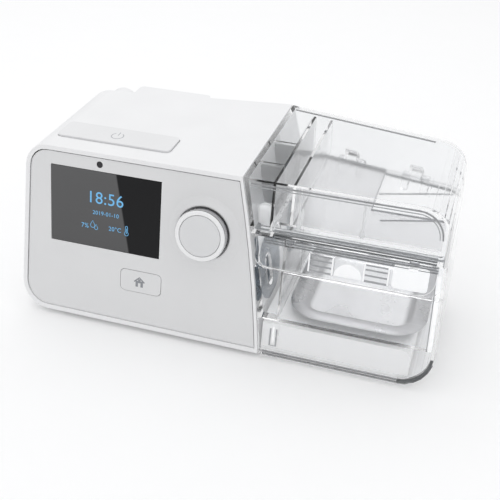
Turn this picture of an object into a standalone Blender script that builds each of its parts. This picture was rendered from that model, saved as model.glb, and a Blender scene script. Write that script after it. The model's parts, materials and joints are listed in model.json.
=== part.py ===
"""Bedside positive-pressure ventilator with a heated humidifier.

The main unit (blower, electronics, screen, knob) is on the left and the clear water tank with
its hinged lid sits on a white heater platform on the right. All sizes are in millimetres in the
device frame: X to the right, Y from the front bottom edge to the rear, Z up from the table.
"""
import math

import bmesh
import bpy
from mathutils import Matrix, Vector

MM = 0.001

# Overall shape
WIDTH = 265.0
DEPTH = 131.0
FOOT_HEIGHT = 3.0
CASE_HEIGHT = 106.0
TOP_Z = FOOT_HEIGHT + CASE_HEIGHT
FRONT_LEAN = 24.0
SIDE_DRAFT = 5.0
TILT = math.atan2(FRONT_LEAN, CASE_HEIGHT)
SLANT = math.hypot(FRONT_LEAN, CASE_HEIGHT)

# Rear wall in plan: two flat faces that meet at the split between unit and tank
APEX_X = 8.0
APEX_Y = 130.0
LEFT_REAR_Y = 110.5
RIGHT_REAR_Y = 106.5
LEFT_SLOPE = (APEX_Y - LEFT_REAR_Y) / (APEX_X + WIDTH / 2 - SIDE_DRAFT)
RIGHT_SLOPE = (RIGHT_REAR_Y - APEX_Y) / (WIDTH / 2 - 4.0 - APEX_X)
REAR_LEFT_RADIUS = 10.0
REAR_RIGHT_RADIUS = 12.0

# Corners of the front outline
RADIUS_TOP_LEFT = 14.0
RADIUS_BOTTOM_LEFT = 17.0
RADIUS_TOP_RIGHT = 16.0
RADIUS_BOTTOM_RIGHT = 20.0

# Split between unit and tank: x falls from the bottom to the top in a slight curve
SPLIT_BOTTOM_X = 28.1
SPLIT_FALL = 0.10
SPLIT_CURVE = 0.00066
SPLIT_STEPS = 5
SPLIT_GAP = 0.8

WALL = 2.6
SPLIT_WALL = 1.8
CLEAR_WALL = 2.2
FIT = 0.3

# Front panel, in its own plane: x across, v up the slope, n outwards
PANEL_RECESS = 0.6
PANEL_THICKNESS = 2.2
SCREEN = (-111.3, 48.7, -38.9, 97.2)
SENSOR = (-79.0, 101.6)
SENSOR_RADIUS = 1.9
KNOB = (-10.9, 71.2)
KNOB_RADIUS = 15.9
KNOB_FRONT = 7.6
FLARE_INNER = 17.4
FLARE_OUTER = 25.2
FLARE_HEIGHT = 2.2
SHAFT_HOLE = 4.0
HOME = (-63.6, 24.0, -36.8, 38.0)

# Power button in the top face
POWER = (-114.4, 37.4, -40.3, 57.0)
POWER_RAISED = 1.2

# Heater platform under the tank
PLATFORM = (28.8, 4.4, 118.0, 100.0)
PLATFORM_TOP = 21.4
PLATE_TOP = 23.2
PLATE = (52.0, 22.0, 112.0, 88.0)
TRAY_TOP = 5.4
TRAY = (-111.7, 10.3, 103.7)

# Water tank and lid
TANK_TOP = 75.0
LID_BOTTOM = 77.4
FLOOR = (25.4, 27.4)
DUCT_WALL_X = 37.0
FLAP_BOTTOM = 56.6
FLAP_TOP = 75.6
FLAP_THICKNESS = 2.0
RECESS = 4.4
CATCH_X = (60.0, 92.0)
FLAP_EAR_X = (41.0, 112.0)
FLAP_PIVOT = (74.0, -1.0)
LID_INNER_WALLS = (29.0, 40.5)
LID_CROSS_WALLS = (47.0, 75.7)
LID_WALL_THICKNESS = 1.6
BAFFLE_EDGE_X = 80.0
BAFFLE_EDGE_Y = 57.0
HINGE_X = (54.0, 98.0)
HINGE_OFFSET = 3.2
HINGE_Z = 76.2
BARREL_RADIUS = 2.6
PIN_RADIUS = 1.1

# Blower
BLOWER = (-42.0, 60.0)
VOLUTE_RADIUS = 31.0
VOLUTE_Z = (12.0, 26.0, 40.0)
IMPELLER_RADIUS = 23.0
MOTOR_RADIUS = 13.0
MOTOR_TOP = 58.0

# Air ports in the split wall (y, z), and the hose port in the rear wall (x, z)
OUTLET_PORT = (33.0, 44.0)
RETURN_PORT = (92.0, 44.0)
PORT_HALF_WIDTH = 7.0
PORT_HALF_HEIGHT = 13.0
HOSE_PORT = (-112.5, 93.5)
HOSE_RADIUS = 11.0
HOSE_BORE = 9.2
HOSE_END_Y = 131.0

# Filter door on the rear wall
FILTER = (-98.6, -46.8)
FILTER_Z = (66.0, 107.6)
FILTER_REAR_Y = 129.4
FILTER_WALL = 2.0

ARC_STEP = math.radians(15.0)


def split_x(z):
    """Right-hand limit of the unit at height z."""
    rise = z - FOOT_HEIGHT
    return SPLIT_BOTTOM_X - SPLIT_FALL * rise - SPLIT_CURVE * rise * rise


def left_x(z):
    return -WIDTH / 2 + SIDE_DRAFT * (z - FOOT_HEIGHT) / CASE_HEIGHT


def right_x(z):
    return WIDTH / 2 - 4.0 * (z - FOOT_HEIGHT) / CASE_HEIGHT


def front_y(z):
    return FRONT_LEAN * (z - FOOT_HEIGHT) / CASE_HEIGHT


def rear_y(x):
    slope = LEFT_SLOPE if x < APEX_X else RIGHT_SLOPE
    return APEX_Y + slope * (x - APEX_X)


# ---------------------------------------------------------------- scene and materials

def clear_scene():
    for item in list(bpy.data.objects):
        bpy.data.objects.remove(item, do_unlink=True)


def new_collection(name):
    collection = bpy.data.collections.new(name)
    bpy.context.scene.collection.children.link(collection)
    return collection


def material(name, colour, roughness, metallic=0.0, alpha=1.0):
    mat = bpy.data.materials.new(name)
    mat.use_nodes = True
    shader = mat.node_tree.nodes["Principled BSDF"]
    shader.inputs["Base Color"].default_value = (*colour, 1.0)
    shader.inputs["Roughness"].default_value = roughness
    shader.inputs["Metallic"].default_value = metallic
    shader.inputs["Alpha"].default_value = alpha
    mat.diffuse_color = (*colour, alpha)
    return mat


clear_scene()
PARTS = new_collection("ventilator")
CUTTERS = new_collection("cutters")

WHITE = material("white_casing", (0.90, 0.90, 0.90), 0.42)
GREY = material("grey_panel", (0.78, 0.78, 0.79), 0.45)
GLASS = material("screen_glass", (0.02, 0.02, 0.022), 0.08)
CLEAR = material("clear_plastic", (0.88, 0.90, 0.92), 0.06, 0.0, 0.3)
STEEL = material("brushed_steel", (0.72, 0.72, 0.73), 0.28, 1.0)
CHROME = material("chrome", (0.85, 0.85, 0.86), 0.08, 1.0)
RUBBER = material("silicone", (0.16, 0.20, 0.25), 0.6)
FEET = material("rubber_feet", (0.22, 0.22, 0.23), 0.8)
BOARD = material("circuit_board", (0.03, 0.16, 0.08), 0.5)
BLACK = material("black_plastic", (0.05, 0.05, 0.055), 0.5)
FOAM = material("filter_foam", (0.30, 0.31, 0.33), 0.95)
DUCT = material("duct_plastic", (0.70, 0.72, 0.74), 0.5)


# ---------------------------------------------------------------- placing and shaping

PLANES = {
    "top": Matrix.Identity(4),
    "front": Matrix.Rotation(math.pi / 2, 4, "X"),
    "side": Matrix.Rotation(math.pi / 2, 4, "Z") @ Matrix.Rotation(math.pi / 2, 4, "X"),
    "panel": Matrix.Translation((0, 0, FOOT_HEIGHT * MM)) @ Matrix.Rotation(math.pi / 2 - TILT, 4, "X"),
    "rear": Matrix.Rotation(-math.pi / 2, 4, "X"),
}


def empty(name, location, parent=None, tilt=0.0, turn=0.0):
    marker = bpy.data.objects.new(name, None)
    marker.location = [value * MM for value in location]
    marker.rotation_euler = (tilt, 0, turn)
    marker.parent = parent
    PARTS.objects.link(marker)
    return marker


UNIT = empty("unit_frame", (0, -DEPTH / 2, 0))


def place(name, mesh, matrix, mat=None):
    """Makes an object from a mesh; one with no material is a cutter."""
    item = bpy.data.objects.new(name, mesh)
    item.matrix_basis = matrix
    item.parent = UNIT
    if mat:
        mesh.materials.append(mat)
        PARTS.objects.link(item)
    else:
        CUTTERS.objects.link(item)
        item.hide_render = True
        item.display_type = "WIRE"
    return item


def ride(item, axis_empty):
    """Parents an object to the empty on its joint's axis, without moving it."""
    item.parent = axis_empty
    item.matrix_parent_inverse = axis_empty.matrix_basis.inverted()
    return item


def smooth(mesh, angle=32.0):
    mesh.shade_smooth()
    mesh.set_sharp_from_angle(angle=math.radians(angle))


def curve_to_mesh(name, curve):
    """Turns a curve into a welded mesh."""
    holder = bpy.data.objects.new(name, curve)
    bpy.context.scene.collection.objects.link(holder)
    graph = bpy.context.evaluated_depsgraph_get()
    mesh = bpy.data.meshes.new_from_object(holder.evaluated_get(graph))
    mesh.name = name
    bpy.data.objects.remove(holder, do_unlink=True)
    shape = bmesh.new()
    shape.from_mesh(mesh)
    bmesh.ops.remove_doubles(shape, verts=shape.verts, dist=1e-6)
    shape.to_mesh(mesh)
    shape.free()
    return mesh


def prism(name, outlines, plane, start, end, mat=None):
    """Extrudes flat outlines (the inner ones are holes) from start to end along the plane's normal."""
    curve = bpy.data.curves.new(name, "CURVE")
    curve.dimensions = "2D"
    curve.fill_mode = "BOTH"
    curve.extrude = (end - start) / 2 * MM
    for outline in outlines:
        spline = curve.splines.new("POLY")
        spline.points.add(len(outline) - 1)
        for point, (x, y) in zip(spline.points, outline):
            point.co = (x * MM, y * MM, 0, 1)
        spline.use_cyclic_u = True
    mesh = curve_to_mesh(name, curve)
    smooth(mesh)
    middle = Matrix.Translation((0, 0, (start + end) / 2 * MM))
    return place(name, mesh, PLANES[plane] @ middle, mat)


def box(name, low, high, mat=None, plane="top"):
    shape = bmesh.new()
    bmesh.ops.create_cube(shape, size=1.0)
    size = [(b - a) * MM for a, b in zip(low, high)]
    bmesh.ops.scale(shape, vec=size, verts=shape.verts)
    mesh = bpy.data.meshes.new(name)
    shape.to_mesh(mesh)
    shape.free()
    middle = Matrix.Translation([(a + b) / 2 * MM for a, b in zip(low, high)])
    return place(name, mesh, PLANES[plane] @ middle, mat)


def turned(name, profile, plane, centre, mat=None, steps=28, closed=False):
    """Turns a profile of (radius, height) round an axis; it runs down its outer side."""
    mesh = bpy.data.meshes.new(name)
    points = [(radius * MM, 0, height * MM) for radius, height in profile]
    edges = [(i, i + 1) for i in range(len(points) - 1)]
    if closed:
        edges.append((len(points) - 1, 0))
    mesh.from_pydata(points, edges, [])
    item = place(name, mesh, PLANES[plane] @ Matrix.Translation([v * MM for v in centre]), mat)
    screw = item.modifiers.new("turn", "SCREW")
    screw.axis = "Z"
    screw.steps = steps
    screw.render_steps = steps
    screw.use_merge_vertices = True
    screw.merge_threshold = 0.00001
    screw.use_smooth_shade = True
    return item


def ring(name, outer, inner, bottom, top, plane, centre, mat=None, steps=28):
    profile = [(inner, top), (outer, top), (outer, bottom), (inner, bottom)]
    return turned(name, profile, plane, centre, mat, steps, closed=True)


def disc(name, radius, bottom, top, plane, centre, mat=None, steps=28):
    profile = [(0, top), (radius, top), (radius, bottom), (0, bottom)]
    return turned(name, profile, plane, centre, mat, steps)


def tube(name, points, radius, mat=None, wall=None, resolution=3):
    """Round tube along points; with a wall thickness it is a hollow duct."""
    curve = bpy.data.curves.new(name, "CURVE")
    curve.dimensions = "3D"
    curve.bevel_depth = radius * MM
    curve.bevel_resolution = resolution
    curve.use_fill_caps = wall is None
    spline = curve.splines.new("POLY")
    spline.points.add(len(points) - 1)
    for point, place_at in zip(spline.points, points):
        point.co = (*[value * MM for value in place_at], 1)
    mesh = curve_to_mesh(name, curve)
    smooth(mesh, 60.0)
    item = place(name, mesh, Matrix.Identity(4), mat)
    if wall is not None:
        shell = item.modifiers.new("wall", "SOLIDIFY")
        shell.thickness = wall * MM
        shell.offset = -1.0
        shell.use_even_offset = True
    return item


def boolean(item, tool, operation):
    modifier = item.modifiers.new(operation.lower(), "BOOLEAN")
    modifier.operation = operation
    modifier.object = tool
    modifier.solver = "EXACT"


def cut(item, *tools):
    for tool in tools:
        boolean(item, tool, "DIFFERENCE")
    return item


def join(item, *tools):
    for tool in tools:
        boolean(item, tool, "UNION")
    return item


def common(item, *tools):
    for tool in tools:
        boolean(item, tool, "INTERSECT")
    return item


def rounded(corners):
    """Outline points from (x, y, radius) corners, anticlockwise, with arcs at the round ones."""
    points = []
    count = len(corners)
    for index, (x, y, radius) in enumerate(corners):
        if radius <= 0:
            points.append((x, y))
            continue
        here = Vector((x, y))
        before = (Vector(corners[index - 1][:2]) - here).normalized()
        after = (Vector(corners[(index + 1) % count][:2]) - here).normalized()
        half = before.angle(after) / 2
        bisector = (before + after).normalized()
        centre = here + bisector * (radius / math.sin(half))
        first = here + before * (radius / math.tan(half)) - centre
        sweep = math.pi - 2 * half
        turn = 1 if before.x * after.y - before.y * after.x < 0 else -1
        steps = max(2, round(sweep / ARC_STEP))
        for step in range(steps + 1):
            angle = turn * sweep * step / steps
            offset = Vector((first.x * math.cos(angle) - first.y * math.sin(angle),
                             first.x * math.sin(angle) + first.y * math.cos(angle)))
            points.append(tuple(centre + offset))
    return points


def rectangle(x0, y0, x1, y1, radius=0.0):
    return rounded([(x0, y0, radius), (x1, y0, radius), (x1, y1, radius), (x0, y1, radius)])


def centre_of(limits):
    x0, y0, x1, y1 = limits
    return ((x0 + x1) / 2, (y0 + y1) / 2)


def grown(limits, margin, radius):
    """Rounded rectangle a margin larger than the (x0, y0, x1, y1) limits."""
    x0, y0, x1, y1 = limits
    return rectangle(x0 - margin, y0 - margin, x1 + margin, y1 + margin, radius)


def circle(x, y, radius, count=24):
    angles = [2 * math.pi * i / count for i in range(count)]
    return [(x + radius * math.cos(angle), y + radius * math.sin(angle)) for angle in angles]


def slot_outline(x, y, half_width, half_height):
    """Upright slot with round ends."""
    return rectangle(x - half_width, y - half_height, x + half_width, y + half_height, half_width - 0.01)


# ---------------------------------------------------------------- outer forms

def split_heights(low, high):
    return [low + (high - low) * i / SPLIT_STEPS for i in range(SPLIT_STEPS + 1)]


def unit_outline(inset, split_inset):
    low = FOOT_HEIGHT + inset
    high = TOP_Z - inset
    corners = [(left_x(low) + inset, low, RADIUS_BOTTOM_LEFT - inset)]
    corners += [(split_x(z) - split_inset, z, 0) for z in split_heights(low, high)]
    corners += [(left_x(high) + inset, high, RADIUS_TOP_LEFT - inset)]
    return rounded(corners)


def tank_outline(inset, split_inset):
    low = FOOT_HEIGHT + inset
    high = TOP_Z - inset
    corners = [(right_x(low) - inset, low, RADIUS_BOTTOM_RIGHT - inset),
               (right_x(high) - inset, high, RADIUS_TOP_RIGHT - inset)]
    corners += [(split_x(z) + SPLIT_GAP + split_inset, z, 0) for z in reversed(split_heights(low, high))]
    return rounded(corners)


def plan_outline(inset, front=-20.0, front_radius=0.0):
    left = -WIDTH / 2 + 0.8 + inset
    right = WIDTH / 2 - 0.8 - inset
    return rounded([
        (left, front, front_radius), (right, front, front_radius),
        (right, rear_y(right) - inset, REAR_RIGHT_RADIUS - inset),
        (APEX_X, APEX_Y - inset, 0),
        (left, rear_y(left) - inset, REAR_LEFT_RADIUS - inset),
    ])


def side_outline(front_inset, inset, low=FOOT_HEIGHT, high=TOP_Z):
    far = APEX_Y + 20.0
    low = low + inset
    high = high - inset
    return [(front_y(low) + front_inset, low), (far, low), (far, high), (front_y(high) + front_inset, high)]


def form(name, outline, inset, front_inset, low, high, mat=None):
    """Solid from a front outline, the plan and the side outline together."""
    item = prism(name, [outline], "front", -APEX_Y - 10.0, 10.0, mat)
    plan = prism(name + "_plan", [plan_outline(inset)], "top", low, high)
    side = prism(name + "_side", [side_outline(front_inset, 0, 0.0, TOP_Z + 5.0)], "side", -150.0, 150.0)
    return common(item, plan, side)


# ---------------------------------------------------------------- main unit

def make_casing():
    casing = form("main_casing", unit_outline(0, 0), 0, 0, 0, TOP_Z + 5, WHITE)
    inside = form("casing_inside", unit_outline(WALL, SPLIT_WALL), WALL, -12.0, 0, TOP_Z + 5)
    low_x, low_y, high_y = TRAY
    bottom = box("casing_bottom_cut", (low_x - FIT, low_y - FIT, 0.0), (60.0, high_y + FIT, TRAY_TOP + FIT))
    power = prism("power_cut", [grown(POWER, 0.4, 3.4)], "top", TOP_Z - 10, TOP_Z + 5)
    hose = disc("hose_cut", HOSE_RADIUS + 0.4, 95.0, 150.0, "rear", (HOSE_PORT[0], -HOSE_PORT[1], 0))
    low, high = FILTER_Z
    window = box("filter_cut", (FILTER[0] + 5, 100.0, low + 5), (FILTER[1] - 5, 135.0, high - 5))
    socket = box("socket_cut", (-28.4, 100.0, 13.6), (-11.6, 135.0, 26.4))
    wires = box("wire_cut", (15.0, 60.0, 7.0), (40.0, 72.0, 15.0))
    cut(casing, inside, bottom, power, hose, window, socket, wires)
    for label, (y, z) in (("outlet", OUTLET_PORT), ("return", RETURN_PORT)):
        opening = slot_outline(y, z, PORT_HALF_WIDTH + 0.4, PORT_HALF_HEIGHT + 0.4)
        cut(casing, prism(label + "_port_cut", [opening], "side", 8.0, 40.0))
    return casing


def make_tray():
    """Bottom plate of the unit, in one piece with the white platform that the tank sits on."""
    x0, y0, x1, y1 = PLATFORM
    low_x, low_y, high_y = TRAY
    outline = [(low_x, low_y), (x1 - 9, low_y), (x1 - 9, y1 - 1), (x0 - 1, y1 - 1),
               (x0 - 1, high_y), (low_x, high_y)]
    tray = prism("base_tray", [outline], "top", FOOT_HEIGHT, TRAY_TOP, WHITE)
    block = prism("platform_block", [rectangle(x0, y0 - 10, x1, y1, 7.0)], "top", FOOT_HEIGHT, PLATFORM_TOP)
    slope = prism("platform_slope", [side_outline(y0 + 0.6, 0, 0.0, 60.0)], "side", 0.0, 150.0)
    profile = rounded([(x0 - 9, 0, 0), (x1, 0, 0), (x1, PLATFORM_TOP, 5.0), (x0 - 9, PLATFORM_TOP, 0)])
    crown = prism("platform_crown", [profile], "front", -120.0, 10.0)
    common(block, slope, crown)
    hollow = box("platform_hollow", (x0 + 2.2, 14.0, TRAY_TOP), (x1 - 3.0, y1 - 3.0, PLATFORM_TOP - 2.2))
    opening = prism("heater_opening", [grown(PLATE, 0.6, 8.6)], "top", 12.0, 30.0)
    wires = box("tray_wire_cut", (x0 - 5, 61.0, 7.5), (x0 + 5, 71.0, 14.5))
    notch = box("platform_notch", (35.0, 0.0, 13.5), (39.4, 9.5, 30.0))
    join(tray, block)
    cut(tray, hollow, opening, wires, notch)
    for x, y in screw_places():
        cut(tray, disc("tray_screw_hole", 1.8, 0.0, 10.0, "top", (x, y, 0), steps=16))
    return tray


def screw_places():
    return [(x, y) for x in (-104.0, 8.0) for y in (24.0, 92.0)]


def make_screws():
    for index, (x, y) in enumerate(screw_places(), 1):
        profile = [(0, 16.0), (1.4, 16.0), (1.4, TRAY_TOP + 0.4), (1.4, FOOT_HEIGHT - 0.2),
                   (2.8, FOOT_HEIGHT - 0.4), (2.8, FOOT_HEIGHT - 1.6), (0, FOOT_HEIGHT - 1.6)]
        turned(f"case_screw_{index}", profile, "top", (x, y, 0), STEEL, steps=12)


def make_feet():
    for row, y in (("front", 18.0), ("rear", 88.0)):
        for side, x in (("left", -92.0), ("middle", 38.0), ("right", 104.0)):
            profile = [(0, FOOT_HEIGHT - 0.3), (6.4, FOOT_HEIGHT - 0.3), (6.0, 0.5), (5.4, 0.0), (0, 0.0)]
            turned(f"foot_{row}_{side}", profile, "top", (x, y, 0), FEET, steps=16)


def panel_outline(inset, split_inset):
    """The unit's front outline as seen in the panel's own plane."""
    stretch = SLANT / CASE_HEIGHT
    return [(x, (z - FOOT_HEIGHT) * stretch) for x, z in unit_outline(inset, split_inset)]


def make_panel():
    back = -PANEL_RECESS - PANEL_THICKNESS
    holes = [circle(*KNOB, FLARE_INNER + 4.0), grown(SCREEN, FIT, 0.6),
             circle(*SENSOR, SENSOR_RADIUS + 0.15), grown(HOME, FIT, 3.3)]
    outline = panel_outline(WALL + 2 * FIT, SPLIT_WALL + 2 * FIT)
    panel = prism("front_fascia", [outline] + holes, "panel", back, -PANEL_RECESS, GREY)
    cut(panel, box("panel_foot_cut", (-150.0, -10.0, 0.0), (60.0, 20.0, FOOT_HEIGHT + WALL + FIT)))
    flare = turned("flare_boss", flare_profile(back + 0.5), "panel", (*KNOB, 0), steps=40, closed=True)
    return join(panel, flare)


def flare_profile(low):
    """Raised collar round the knob: a smooth flare outside, a flat recess with a shaft hole inside."""
    steps = 5
    recess = -PANEL_RECESS - 0.5
    profile = [(FLARE_INNER - 0.7, FLARE_HEIGHT - PANEL_RECESS)]
    for index in range(steps + 1):
        part = index / steps
        radius = FLARE_INNER + (FLARE_OUTER - FLARE_INNER) * part
        profile.append((radius, -PANEL_RECESS + 0.02 + FLARE_HEIGHT * (1 - part) ** 2.2 - 0.35 * part))
    profile += [(FLARE_OUTER, low), (SHAFT_HOLE, low), (SHAFT_HOLE, recess), (FLARE_INNER - 0.7, recess)]
    return profile


def make_screen():
    x0, v0, x1, v1 = SCREEN
    prism("screen_lens", [rectangle(x0, v0, x1, v1, 0.5)], "panel", -1.9, -PANEL_RECESS - 0.1, GLASS)
    box("lcd_module", (x0 - 3, v0 - 3, -7.4), (x1 + 3, v1 + 3, -3.2), BLACK, "panel")
    disc("light_sensor_window", SENSOR_RADIUS, -2.6, -PANEL_RECESS - 0.1, "panel", (*SENSOR, 0), GLASS, 24)


def make_control_board():
    outline = rectangle(-118.0, 14.0, 4.0, 103.0, 2.0)
    holes = [circle(KNOB[0], KNOB[1], 2.2, 16)]
    prism("control_board", [outline] + holes, "panel", -10.6, -9.0, BOARD)
    x, v = centre_of(HOME)
    box("home_switch", (x - 3, v - 3, -8.7), (x + 3, v + 3, -4.8), BLACK, "panel")


def make_home_button(axis):
    outline = rectangle(*HOME, 3.0)
    button = prism("home_button", [outline], "panel", -3.6, -PANEL_RECESS + 0.1, GREY)
    ride(button, axis)


def make_encoder(turn_axis, push_axis):
    centre = (*KNOB, 0)
    ring("encoder_body", 6.5, 3.4, -8.7, -3.2, "panel", centre, BLACK, 32)
    ride(ring("encoder_rotor", 3.1, 2.3, -8.4, -1.6, "panel", centre, STEEL, 24), turn_axis)
    face = KNOB_FRONT
    rim = KNOB_RADIUS
    body = [(rim - 3.0, face - 1.5), (rim - 3.0, face - 0.3), (rim - 2.7, face), (rim - 0.9, face),
            (rim - 0.4, face - 0.5), (rim - 0.4, face - 0.9), (rim - 0.9, face - 0.9), (rim - 0.9, 0.6),
            (rim - 2.3, 0.6), (rim - 2.3, face - 3.0), (2.0, face - 3.0), (2.0, -7.8), (0, -7.8)]
    profile = [(0, face - 1.5)] + body
    ride(turned("knob_body", profile, "panel", centre, WHITE, 40), push_axis)
    sleeve = [(rim - 0.6, face - 1.2), (rim, face - 1.2), (rim, 0.9), (rim - 0.6, 0.9)]
    ride(turned("knob_trim_ring", sleeve, "panel", centre, CHROME, 40, closed=True), push_axis)
    cap = [(0, face - 0.1), (rim - 3.6, face - 0.1), (rim - 3.3, face - 0.35), (rim - 3.3, face - 1.2),
           (0, face - 1.2)]
    ride(turned("knob_cap", cap, "panel", centre, GREY, 32), push_axis)


def make_power_button(axis):
    button = prism("power_button", [rectangle(*POWER, 3.0)], "top", TOP_Z - 2.2, TOP_Z + POWER_RAISED, WHITE)
    ride(button, axis)
    x, y = centre_of(POWER)
    box("power_switch", (x - 3, y - 3, TOP_Z - 7.4), (x + 3, y + 3, TOP_Z - 3.4), BLACK)
    box("power_board", (x - 16, y - 8, TOP_Z - 9.3), (x + 16, y + 8, TOP_Z - 7.7), BOARD)


# ---------------------------------------------------------------- inside the unit

def make_electronics():
    box("main_board", (-122.0, 32.0, 10.0), (-80.0, 84.0, 11.6), BOARD)
    box("pressure_sensor", (-106.0, 40.0, 11.9), (-97.0, 49.0, 18.0), BLACK)
    socket = box("power_inlet", (-28.0, 109.0, 14.0), (-12.0, 123.0, 26.0), BLACK)
    cut(socket, box("power_inlet_mouth", (-26.0, 113.0, 16.0), (-14.0, 140.0, 24.0)))
    for x in (-23.0, -17.0):
        join(socket, box("inlet_pin", (x - 0.8, 112.0, 18.6), (x + 0.8, 116.5, 21.4)))


def make_blower(axis):
    low, middle, high = VOLUTE_Z
    x, y = BLOWER
    outline = rounded_volute()
    lower = prism("volute_lower", [outline], "top", low, middle - FIT / 2, DUCT)
    upper = prism("volute_upper", [outline], "top", middle + FIT / 2, high, DUCT)
    wheel_room = disc("wheel_room", IMPELLER_RADIUS + 2.5, low + 2.0, high - 2.0, "top", (x, y, 0), steps=40)
    scroll = box("scroll_room", (x - 6.0, y - VOLUTE_RADIUS + 3.0, low + 2.0),
                 (x + 60.0, y - VOLUTE_RADIUS + 14.0, high - 2.0))
    inlet = disc("blower_inlet", 9.0, low - 5.0, low + 5.0, "top", (x, y, 0), steps=32)
    shaft_hole = disc("shaft_hole", 2.4, high - 5.0, high + 5.0, "top", (x, y, 0), steps=20)
    cut(lower, wheel_room, scroll, inlet)
    cut(upper, wheel_room, scroll, shaft_hole)
    ring("motor_can", MOTOR_RADIUS, 2.4, high + FIT, MOTOR_TOP, "top", (x, y, 0), BLACK, 28)
    shaft = disc("motor_shaft", 1.5, low + 12.0, MOTOR_TOP + 1.5, "top", (x, y, 0), STEEL, 16)
    ride(shaft, axis)
    make_impeller(axis)
    for index, (dx, dy) in enumerate(((-24.0, 0.0), (16.0, 22.0)), 1):
        foot = (x + dx, y + dy, 0)
        ring(f"blower_mount_{index}", 5.0, 2.0, TRAY_TOP + FIT, low - FIT, "top", foot, RUBBER, 20)


def rounded_volute():
    """Round housing with a straight outlet mouth towards the tank side."""
    x, y = BLOWER
    reach = VOLUTE_RADIUS
    points = [(x + 38.0, y - reach), (x + 38.0, y - reach + 17.0), (x + reach * 0.75, y - reach + 17.0)]
    start = math.atan2(-reach + 17.0, reach * 0.86)
    for index in range(1, 30):
        angle = start + (math.pi * 1.5 - start) * index / 29
        points.append((x + reach * math.cos(angle), y + reach * math.sin(angle)))
    return points


def make_impeller(axis):
    x, y = BLOWER
    low = VOLUTE_Z[0] + 4.0
    wheel = ring("impeller", IMPELLER_RADIUS, 1.8, low + 12.0, low + 14.0, "top", (x, y, 0), DUCT, 28)
    hub = ring("impeller_hub", 5.0, 1.8, low + 8.0, low + 13.0, "top", (x, y, 0), None, 24)
    join(wheel, hub)
    blades = 9
    for index in range(blades):
        blade = box(f"blade_{index}", (9.0, -0.6, low + 1.0), (IMPELLER_RADIUS - 0.5, 0.6, low + 13.0))
        turn = Matrix.Rotation(2 * math.pi * index / blades, 4, "Z")
        blade.matrix_basis = Matrix.Translation((x * MM, y * MM, 0)) @ turn @ blade.matrix_basis
        join(wheel, blade)
    ride(wheel, axis)


def blend_points(knots, count):
    """Points on a smooth curve through the knots."""
    points = []
    spans = len(knots) - 1
    for span in range(spans):
        p0 = Vector(knots[max(span - 1, 0)])
        p1 = Vector(knots[span])
        p2 = Vector(knots[span + 1])
        p3 = Vector(knots[min(span + 2, spans)])
        for step in range(count):
            t = step / count
            points.append(tuple(0.5 * (2 * p1 + (p2 - p0) * t + (2 * p0 - 5 * p1 + 4 * p2 - p3) * t ** 2
                                       + (3 * p1 - p0 - 3 * p2 + p3) * t ** 3)))
    points.append(tuple(knots[-1]))
    return points


def make_ducts():
    y, z = OUTLET_PORT
    knots = [(-3.0, 36.5, 26.0), (3.0, 36.5, 28.0), (6.0, 35.0, 35.0), (10.0, y, z - 2), (16.0, y, z)]
    tube("outlet_duct", blend_points(knots, 2), 6.2, DUCT, wall=1.2, resolution=2)
    y, z = RETURN_PORT
    knots = [(17.0, y, z), (8.0, y, z + 2), (-6.0, 90.0, 60.0), (-30.0, 89.0, 74.0), (-66.0, 88.0, 84.0),
             (-96.0, 88.0, 91.0), (-110.0, 93.0, 93.5), (HOSE_PORT[0], 99.0, HOSE_PORT[1])]
    tube("return_duct", blend_points(knots, 2), 8.2, DUCT, wall=1.2, resolution=2)
    for name, (y, z) in (("outlet_seal", OUTLET_PORT), ("return_seal", RETURN_PORT)):
        outer = slot_outline(y, z, PORT_HALF_WIDTH, PORT_HALF_HEIGHT)
        inner = slot_outline(y, z, PORT_HALF_WIDTH - 2.4, PORT_HALF_HEIGHT - 2.4)
        seal = prism(name, [outer, inner], "side", 19.4, 40.0, RUBBER)
        keep = prism(name + "_face", [unit_outline(0, -0.4)], "front", -130.0, 10.0)
        common(seal, keep)


def make_hose_port():
    x, z = HOSE_PORT
    end = HOSE_END_Y
    profile = [(HOSE_BORE, end), (HOSE_RADIUS - 0.6, end), (HOSE_RADIUS - 0.3, end - 1.0),
               (HOSE_RADIUS, 108.0), (HOSE_RADIUS, 99.4), (HOSE_BORE, 99.4)]
    turned("hose_port", profile, "rear", (x, -z, 0), WHITE, 32, closed=True)


def wall_line(gap):
    """Plan points just behind the rear wall, across the filter door."""
    return [(x, rear_y(x) + gap) for x in FILTER]


def make_filter(axis):
    (x0, y0), (x1, y1) = wall_line(0.4)
    low, high = FILTER_Z
    outer = rounded([(x0, y0, 0), (x1, y1, 0), (x1, FILTER_REAR_Y, 3.0), (x0, FILTER_REAR_Y, 3.0)])
    door = prism("filter_door", [outer], "top", low, high, WHITE)
    inset = FILTER_WALL
    room = rounded([(x0 + inset, y0 - 20, 0), (x1 - inset, y1 - 20, 0),
                    (x1 - inset, FILTER_REAR_Y - inset, 1.2), (x0 + inset, FILTER_REAR_Y - inset, 1.2)])
    cut(door, prism("door_room", [room], "top", low + inset, high - inset))
    for index in range(8):
        x = x0 + 9.0 + index * (x1 - x0 - 18.0) / 7
        cut(door, box(f"door_slot_{index}", (x - 1.1, 120.0, low + 9.0), (x + 1.1, 140.0, high - 9.0)))
    ride(door, axis)
    pad = [(x0 + 6, rear_y(x0 + 6) - 2.2), (x1 - 6, rear_y(x1 - 6) - 2.2), (x1 - 6, 126.4), (x0 + 6, 126.4)]
    prism("filter_foam", [pad], "top", low + 6.0, high - 6.0, FOAM)
    block = box("inlet_muffler", (-92.0, 93.5, 18.0), (-52.0, 110.5, 62.0), FOAM)
    cut(block, disc("muffler_path", 6.5, 0.0, 80.0, "top", (-72.0, 102.0, 0), steps=24))


# ---------------------------------------------------------------- heater

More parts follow.
